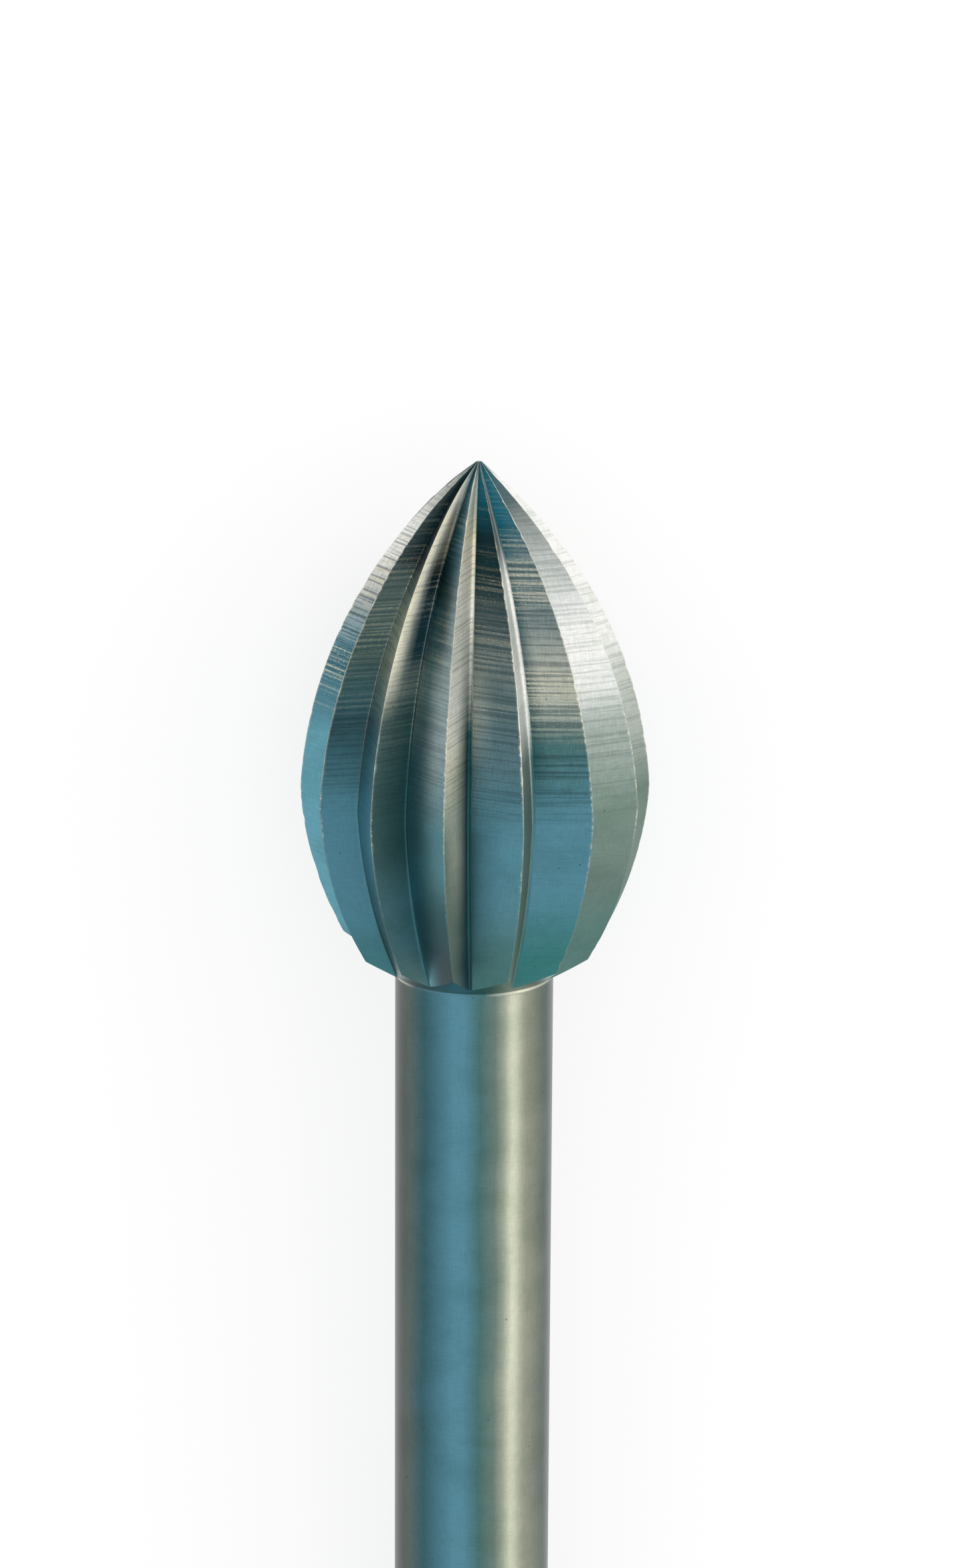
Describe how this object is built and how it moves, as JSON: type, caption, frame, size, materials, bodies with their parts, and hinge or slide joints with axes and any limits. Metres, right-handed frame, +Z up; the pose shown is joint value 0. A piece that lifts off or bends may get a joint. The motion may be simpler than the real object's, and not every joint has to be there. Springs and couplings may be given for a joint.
{
  "type": "milling cutter",
  "caption": "Bud-shaped rotary milling cutter: a pointed head with straight V flutes and sharp teeth on a plain round shank, one piece of steel.",
  "frame": {"origin": "centre of the bounding box's bottom face, on the surface that the cutter lies on", "axes": "+Y along the cutter towards its tip, seen from above; +Z up; the cutter lies at rest on two teeth and the shank's tail edge, its axis 1.9 degrees up from the surface"},
  "size_m": [0.0052, 0.0446, 0.005],
  "materials": {
    "tool_steel": "ground tool steel with blue-green heat tints on the fluted head and along the shank"
  },
  "bodies": {
    "root": {"milling_cutter": "tool_steel"}
  },
  "joints": []
}
